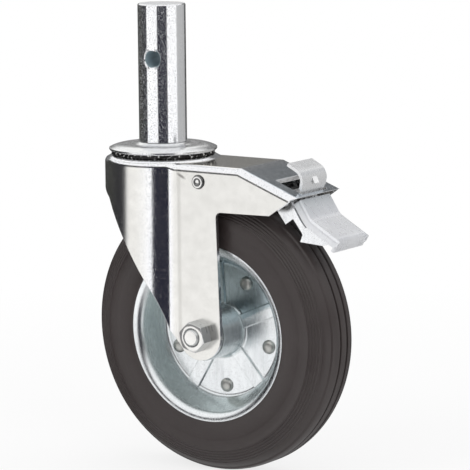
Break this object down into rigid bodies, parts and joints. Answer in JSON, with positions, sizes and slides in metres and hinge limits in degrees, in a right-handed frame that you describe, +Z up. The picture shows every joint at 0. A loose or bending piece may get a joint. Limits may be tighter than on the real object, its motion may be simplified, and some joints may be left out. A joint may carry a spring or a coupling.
{
  "type": "scaffold castor",
  "caption": "Swivel castor for a scaffold tower: round stem with a cross hole, pressed fork, solid rubber wheel and a pedal that locks wheel and swivel.",
  "frame": {"origin": "on the swivel axis, where the plain stem starts above the top plate's collar", "axes": "+Z up the stem, +X from the swivel axis towards the pedal, Y along the wheel's axle"},
  "size_m": [0.2083, 0.0837, 0.3288],
  "materials": {
    "stem_zinc": "bright zinc plate over turned steel",
    "plate_zinc": "bright zinc plate over pressed steel",
    "seal_rubber": "matt black",
    "bearing_steel": "polished, greased",
    "race_steel": "hardened, dark satin",
    "fork_zinc": "zinc plate over pressed sheet, satin",
    "fastener_zinc": "zinc plate",
    "spring_steel": "oiled wire",
    "tyre_rubber": "matt, light mould lines",
    "rim_zinc": "zinc plate over pressed sheet, blue passivated",
    "rivet_zinc": "zinc plate",
    "hub_steel": "turned steel",
    "cage_plastic": "moulded",
    "cap_zinc": "zinc plate over pressed sheet",
    "lever_zinc": "zinc plate over folded sheet",
    "pedal_zinc": "zinc plate over pressed sheet",
    "latch_zinc": "zinc plate over bent strip"
  },
  "bodies": {
    "stem": {"stem": "stem_zinc", "top_plate": "plate_zinc", "race_seal": "seal_rubber", "upper_balls": "bearing_steel", "lower_balls": "bearing_steel", "lower_race_cup": "race_steel", "swivel_lock_ring": "race_steel"},
    "fork": {"fork_housing": "fork_zinc", "axle_bolt": "fastener_zinc", "axle_nut": "fastener_zinc", "axle_sleeve": "race_steel", "brake_pivot_pin": "fastener_zinc"},
    "wheel": {"tyre": "tyre_rubber", "rim_near": "rim_zinc", "rim_far": "rim_zinc", "rim_rivets": "rivet_zinc", "hub_tube": "hub_steel", "hub_rollers": "bearing_steel", "roller_cage": "cage_plastic", "hub_cap_near": "cap_zinc", "hub_cap_far": "cap_zinc"},
    "brake_lever": {"brake_lever": "lever_zinc", "pedal_cover": "pedal_zinc", "latch_pin": "fastener_zinc", "brake_spring": "spring_steel", "latch_spring": "spring_steel"},
    "release_latch": {"release_latch": "latch_zinc"}
  },
  "joints": [
    {"name": "swivel", "type": "hinge", "parent": "stem", "child": "fork", "pos_m": [0, 0, 0], "axis": [0, 0, 1], "continuous": true},
    {"name": "wheel_spin", "type": "hinge", "parent": "fork", "child": "wheel", "pos_m": [0.0505, 0, -0.131], "axis": [0, 1, 0], "continuous": true},
    {"name": "brake_pedal", "type": "hinge", "parent": "fork", "child": "brake_lever", "pos_m": [0.051, 0, -0.0224], "axis": [0, 1, 0], "range_deg": [0, 4], "stiffness_Nm_per_rad": 3, "springref_deg": -8.59},
    {"name": "latch_release", "type": "hinge", "parent": "brake_lever", "child": "release_latch", "pos_m": [0.1135, 0, -0.03359], "axis": [0, 1, 0], "range_deg": [-8, 0], "stiffness_Nm_per_rad": 0.3, "springref_deg": 14.32}
  ]
}
